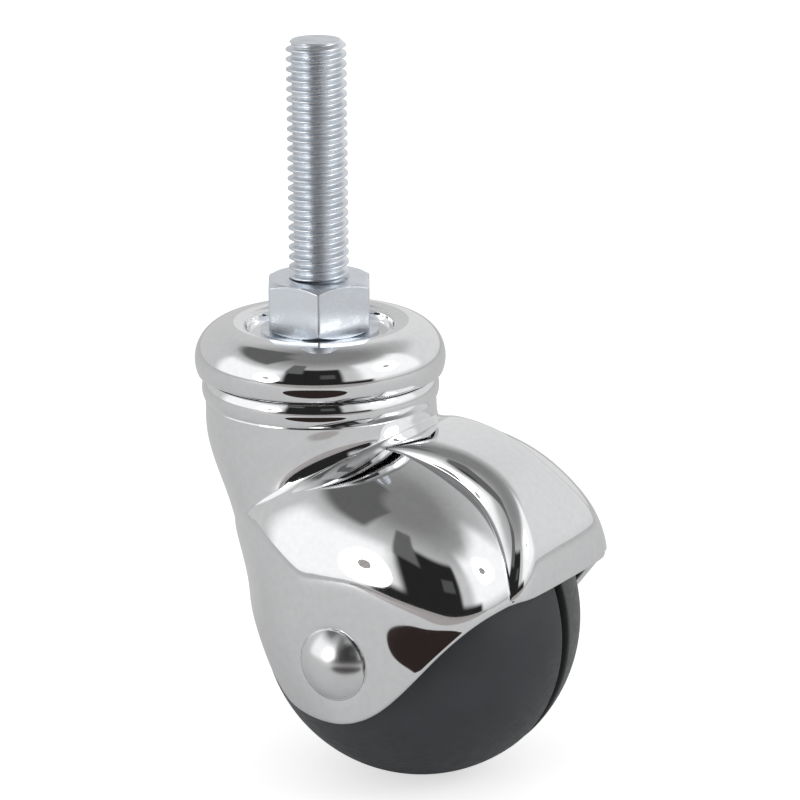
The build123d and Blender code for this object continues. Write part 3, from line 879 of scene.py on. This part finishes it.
class CASTOR_OT_inner(bpy.types.Operator):
    """Finishes for the bearing, seal, bushes, washers and core, which keep their solids"""
    bl_idname = "castor.inner"
    bl_label = "Inner pieces"

    def execute(self, context):
        tone = context.scene.castor.finish
        finishes = {
            oiled_steel("oiled_races", tone.race): ("upper_race_cup", "lower_race_cone", "swivel_plate"),
            oiled_steel("bearing_ball_steel", scaled(tone.race, 1.3)): (
                "upper_bearing_balls", "lower_bearing_balls",
            ),
            zinc_plate("zinc_on_washers", tone.zinc, 0.8): ("nut_washer", "end_washer", "rivet_washer_far"),
            moulded("core_plastic", scaled(tone.ball, 0.35), 0.55, 0.2): ("wheel_core",),
            moulded("natural_nylon", tone.nylon, 0.45, 0.1): (
                "thrust_washer_near", "thrust_washer_far", "hub_bush_near", "hub_bush_far",
            ),
            # The dust seal gets a near-black matt tone and fills the dark groove under the collar.
            moulded("seal_rubber", tone.groove_ring_black, 0.75, 0.3): ("dust_seal",),
        }
        for material, names in finishes.items():
            for name in names:
                for slot in frame["nodes"][name].material_slots:
                    slot.material = material
        return {"FINISHED"}


def plain(name, tone, glow=0.0):
    """Matt finish for the stage, lit by its own glow where that is given."""
    n = Finish(name)
    return n.finish(
        Base_Color=(*tone, 1.0), Roughness=1.0, Specular_IOR_Level=0.0,
        Emission_Color=(*tone, 1.0), Emission_Strength=glow,
    )


def card(name, grid, material):
    """Open sheet through a grid of points, seen by mirrors only."""
    rows, columns = grid.shape[:2]
    index = np.arange(rows * columns).reshape(rows, columns)
    faces = np.stack([index[:-1, :-1], index[1:, :-1], index[1:, 1:], index[:-1, 1:]], -1).reshape(-1, 4)
    mesh = bpy.data.meshes.new(name)
    mesh.from_pydata(grid.reshape(-1, 3).tolist(), [], faces.tolist())
    mesh.materials.append(material)
    sheet = bpy.data.objects.new(name, mesh)
    bpy.context.scene.collection.objects.link(sheet)
    sheet.visible_camera = False
    sheet.visible_diffuse = False
    sheet.visible_shadow = False


def disc(name, centre, facing, radius, material):
    """Flat round card square to a direction."""
    angle = np.linspace(0, 2 * np.pi, 64)[None, :]
    across = np.array([0, radius])[:, None]
    side = np.cross(facing, (0, 0, 1.0))
    side /= np.linalg.norm(side)
    up = np.cross(side, facing)
    along, upward = across * np.cos(angle), across * np.sin(angle)
    card(name, centre + along[..., None] * side + upward[..., None] * up, material)


class CASTOR_OT_stage(bpy.types.Operator):
    """Pale floor and tent, two round lamps with dim middles, two cards on the floor and the
    camera"""
    bl_idname = "castor.stage"
    bl_label = "Stage"

    def execute(self, context):
        scene, size = context.scene, context.scene.castor.stage
        scene.view_settings.view_transform = "Standard"
        az, el = size.azimuth, size.elevation
        back = np.array([np.sin(az) * np.cos(el), -np.cos(az) * np.cos(el), np.sin(el)])
        level = np.array([np.cos(az), np.sin(az), 0.0])
        upward = np.cross(back, level)
        right = np.cos(size.roll) * level + np.sin(size.roll) * upward
        up = -np.sin(size.roll) * level + np.cos(size.roll) * upward
        aim = np.array([0.0095, 0.0, -0.020])

        camera_data = bpy.data.cameras.new("camera")
        camera_data.lens = size.lens
        camera_data.sensor_width = 36.0
        camera_data.clip_start, camera_data.clip_end = 0.05, 20.0
        camera = bpy.data.objects.new("camera", camera_data)
        spot = aim + size.distance * back + size.shift_right * right + size.shift_up * up
        camera.matrix_world = Matrix([
            (right[0], up[0], back[0], spot[0]),
            (right[1], up[1], back[1], spot[1]),
            (right[2], up[2], back[2], spot[2]),
            (0, 0, 0, 1),
        ])
        scene.collection.objects.link(camera)
        scene.camera = camera

        ground, reach = CAD_BOX[0].z, 4
        corners = [(x * reach, y * reach, ground) for x, y in ((-1, -1), (1, -1), (1, 1), (-1, 1))]
        floor_mesh = bpy.data.meshes.new("floor")
        floor_mesh.from_pydata(corners, [], [(0, 1, 2, 3)])
        floor = bpy.data.objects.new("floor", floor_mesh)
        scene.collection.objects.link(floor)
        floor_mesh.materials.append(self.floor_finish(size))
        self.tent(scene, size)

        def direction(turn, rise):
            """Unit vector at an angle from the camera's azimuth, positive to its right."""
            a = az + np.radians(turn)
            e = np.radians(rise)
            return np.array([np.sin(a) * np.cos(e), -np.cos(a) * np.cos(e), np.sin(e)])

        dark = plain("dark_card", size.card, size.card_glow)
        dim = plain("dim_card", size.dim_card, size.card_glow)
        for name, turn, rise in LAMPS:
            toward = direction(turn, rise)
            centre = aim + size.lamp_distance * toward
            lamp_data = bpy.data.lights.new(name, "AREA")
            lamp_data.shape = "DISK"
            lamp_data.size = size.lamp_size
            lamp_data.energy = size.lamp_power
            lamp = bpy.data.objects.new(name, lamp_data)
            facing = Vector(toward).to_track_quat("Z", "Y").to_matrix().to_4x4()
            lamp.matrix_world = Matrix.Translation(Vector(centre)) @ facing
            scene.collection.objects.link(lamp)
            in_front = centre - 0.01 * toward
            disc(name + "_middle", in_front, toward, size.lamp_size * size.lamp_middle, dim)
        for material, (name, turn, distance, radius) in zip((dark, dim), FLOOR_CARDS):
            angle = np.linspace(0, 2 * np.pi, 96)[None, :]
            out = np.array([0, radius])[:, None]
            x = TRAIL + distance * np.sin(az + np.radians(turn)) + out * np.cos(angle)
            y = -distance * np.cos(az + np.radians(turn)) + out * np.sin(angle)
            above_floor = 0.0006
            card(name, np.stack([x, y, ground + above_floor + 0 * x], -1), material)
        return {"FINISHED"}

    def floor_finish(self, size):
        """Matt pale floor. A glow that only the camera sees lifts it to white, shadow kept."""
        n = Finish("pale_floor")
        camera = n.add("ShaderNodeLightPath").outputs["Is Camera Ray"]
        glow = n.maths("MULTIPLY", camera, size.lift)
        return n.finish(
            Base_Color=(*size.floor, 1.0), Roughness=1.0, Specular_IOR_Level=0.0,
            Emission_Color=(1.0, 1.0, 1.0, 1.0), Emission_Strength=glow,
        )

    def tent(self, scene, size):
        """World: plain white for the camera, an even fill on rough surfaces, and for mirrors a
        grey tent with two bright panels at the sides and a dark room in front. A patch is the
        product of two eased steps, of the distance in azimuth and in elevation from its
        middle."""
        world = bpy.data.worlds.new("white_tent")
        world.use_nodes = True
        sky = Tree(world.node_tree)
        add, maths = sky.add, sky.maths

        way = add("ShaderNodeTexCoord").outputs["Generated"]
        from_camera = add("ShaderNodeMapping", {"Vector": way, "Rotation": (0, 0, -size.azimuth)})
        parts = add("ShaderNodeSeparateXYZ", {"Vector": from_camera.outputs["Vector"]}).outputs
        azimuth = maths("ARCTAN2", parts["X"], maths("MULTIPLY", parts["Y"], -1.0))
        elevation = maths("ARCSINE", parts["Z"])

        def near(value, middle, half, soft):
            """One inside half a width of the middle, falling to zero over the soft edge."""
            away = maths("ABSOLUTE", maths("SUBTRACT", value, np.radians(middle)))
            return add(
                "ShaderNodeMapRange",
                {"Value": away, 1: np.radians(half - soft), 2: np.radians(half + soft), 3: 1.0, 4: 0.0},
                interpolation_type="SMOOTHSTEP",
            ).outputs["Result"]

        level = add(
            "ShaderNodeMapRange",
            {"Value": elevation, 1: np.radians(30), 2: np.radians(75), 3: TENT_SIDE, 4: TENT_TOP},
            interpolation_type="SMOOTHSTEP",
        ).outputs["Result"]
        for middle, half, rise, half_rise, soft, strength in PATCHES:
            beside, above = near(azimuth, middle, half, soft), near(elevation, rise, half_rise, soft)
            mask = maths("MULTIPLY", beside, above)
            change = maths("SUBTRACT", strength, level)
            level = maths("MULTIPLY_ADD", mask, change, level)

        rays = add("ShaderNodeLightPath").outputs
        mirror = maths("MAXIMUM", rays["Is Glossy Ray"], rays["Is Transmission Ray"])
        seen = maths("MULTIPLY_ADD", mirror, maths("SUBTRACT", level, size.fill), size.fill)
        background = sky.tree.nodes["Background"].inputs
        sky.wire((1, 1, 1, 1), background["Color"])
        sky.wire(maths("MAXIMUM", seen, rays["Is Camera Ray"]), background["Strength"])
        scene.world = world


class CASTOR_PT_panel(bpy.types.Panel):
    """Sizes, finishes and the steps that build the castor"""
    bl_label = "Hooded castor"
    bl_idname = "CASTOR_PT_panel"
    bl_space_type = "VIEW_3D"
    bl_region_type = "UI"
    bl_category = "Castor"

    def draw(self, context):
        for step in STEPS:
            self.layout.operator(step.bl_idname)
        for group in ("stem", "collar", "hood", "ball", "finish", "stage"):
            box = self.layout.box()
            box.label(text=group.capitalize())
            settings = getattr(context.scene.castor, group)
            for name in settings.bl_rna.properties.keys():
                if name not in ("rna_type", "name"):
                    box.prop(settings, name)


GROUPS = (StemSizes, CollarSizes, HoodSizes, BallSizes, Finishes, StageSettings, CastorSettings)
STEPS = (
    CASTOR_OT_stem, CASTOR_OT_nut, CASTOR_OT_collar, CASTOR_OT_hood, CASTOR_OT_ball, CASTOR_OT_rivet,
    CASTOR_OT_inner, CASTOR_OT_stage,
)


def register():
    for item in GROUPS + STEPS + (CASTOR_PT_panel,):
        bpy.utils.register_class(item)
    bpy.types.Scene.castor = PointerProperty(type=CastorSettings)


def unregister():
    del bpy.types.Scene.castor
    for item in reversed(GROUPS + STEPS + (CASTOR_PT_panel,)):
        bpy.utils.unregister_class(item)


def main():
    register()
    for step in STEPS:
        group, name = step.bl_idname.split(".")
        getattr(getattr(bpy.ops, group), name)()


if __name__ == "__main__":
    main()
